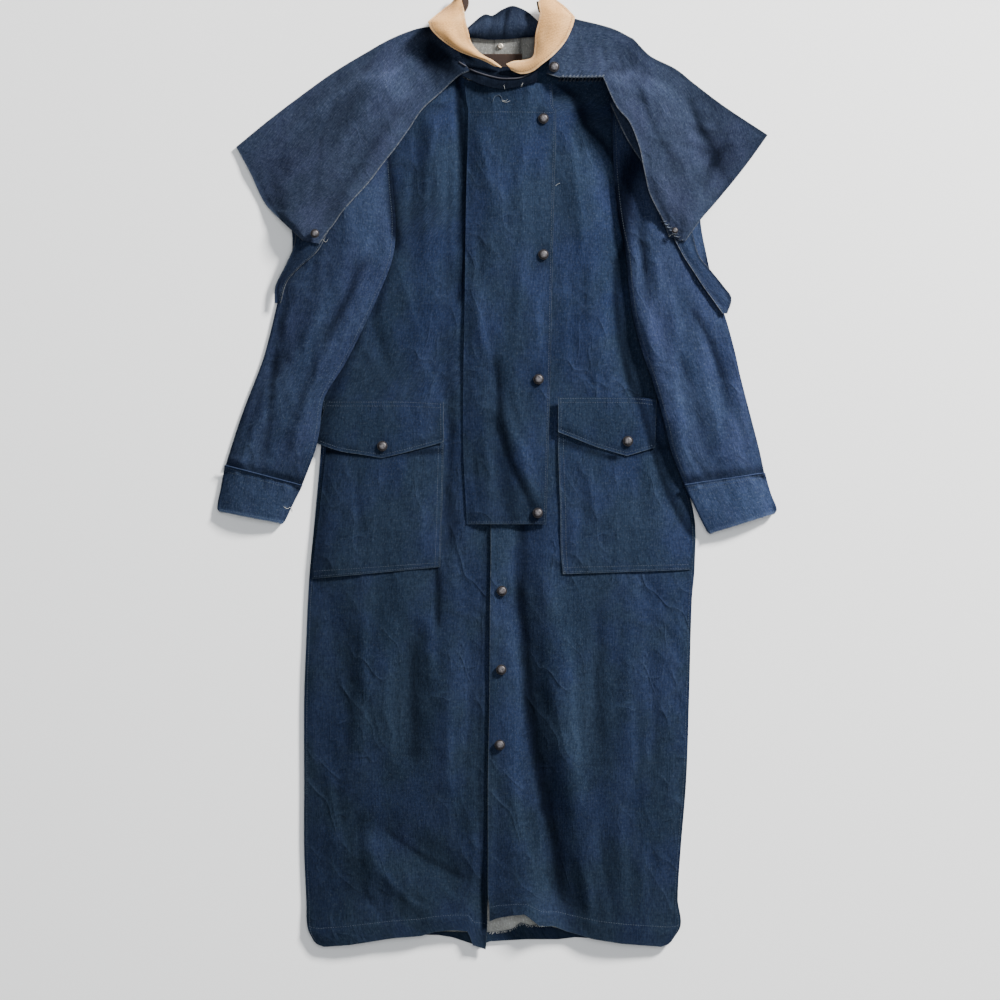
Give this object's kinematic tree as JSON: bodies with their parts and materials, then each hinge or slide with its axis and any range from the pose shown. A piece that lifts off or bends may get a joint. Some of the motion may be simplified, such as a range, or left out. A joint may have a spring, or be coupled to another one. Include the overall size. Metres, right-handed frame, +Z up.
{
  "type": "denim duster coat",
  "caption": "Ankle-length denim duster coat with a shoulder cape, storm flap, corduroy collar, patch pockets and cuffed sleeves, laid flat on its back.",
  "frame": {"origin": "centre of the underside that the coat lies on, at the middle of its box", "axes": "+Y runs up the coat to its collar, +X is the wearer's left, +Z is up, off the surface that it lies on"},
  "size_m": [0.798, 1.362, 0.0379],
  "materials": {
    "denim": "indigo twill, washed and worn paler at the seam edges",
    "denim_wrong_side": "undyed wrong side of the same twill",
    "corduroy": "soft tan pile, matte",
    "label_cloth": "plain woven cloth with no wording",
    "snap_metal": "dark aged copper with a worn crown"
  },
  "bodies": {
    "root": {"cape_back": "denim", "back_panel": "denim", "back_hem_fold": "denim", "neck_facing": "denim_wrong_side", "neck_label": "label_cloth", "collar_stand": "denim", "front_right": "denim", "front_left": "denim", "storm_flap": "denim", "pocket_right": "denim", "pocket_left": "denim", "pocket_flap_right": "denim", "pocket_flap_left": "denim", "sleeve_right": "denim", "sleeve_left": "denim", "cuff_right": "denim", "cuff_left": "denim", "arm_strap_right": "denim", "arm_strap_left": "denim", "throat_band": "denim", "cape_right": "denim", "cape_left": "denim", "collar_right": "corduroy", "collar_left": "corduroy", "snap_flap_1": "snap_metal", "snap_flap_2": "snap_metal", "snap_flap_3": "snap_metal", "snap_flap_4": "snap_metal", "snap_front_1": "snap_metal", "snap_front_2": "snap_metal", "snap_front_3": "snap_metal", "snap_pocket_right": "snap_metal", "snap_pocket_left": "snap_metal", "snap_neck": "snap_metal", "snap_cape_right": "snap_metal", "stud_cape_left": "snap_metal", "socket_neck": "snap_metal"}
  },
  "joints": []
}
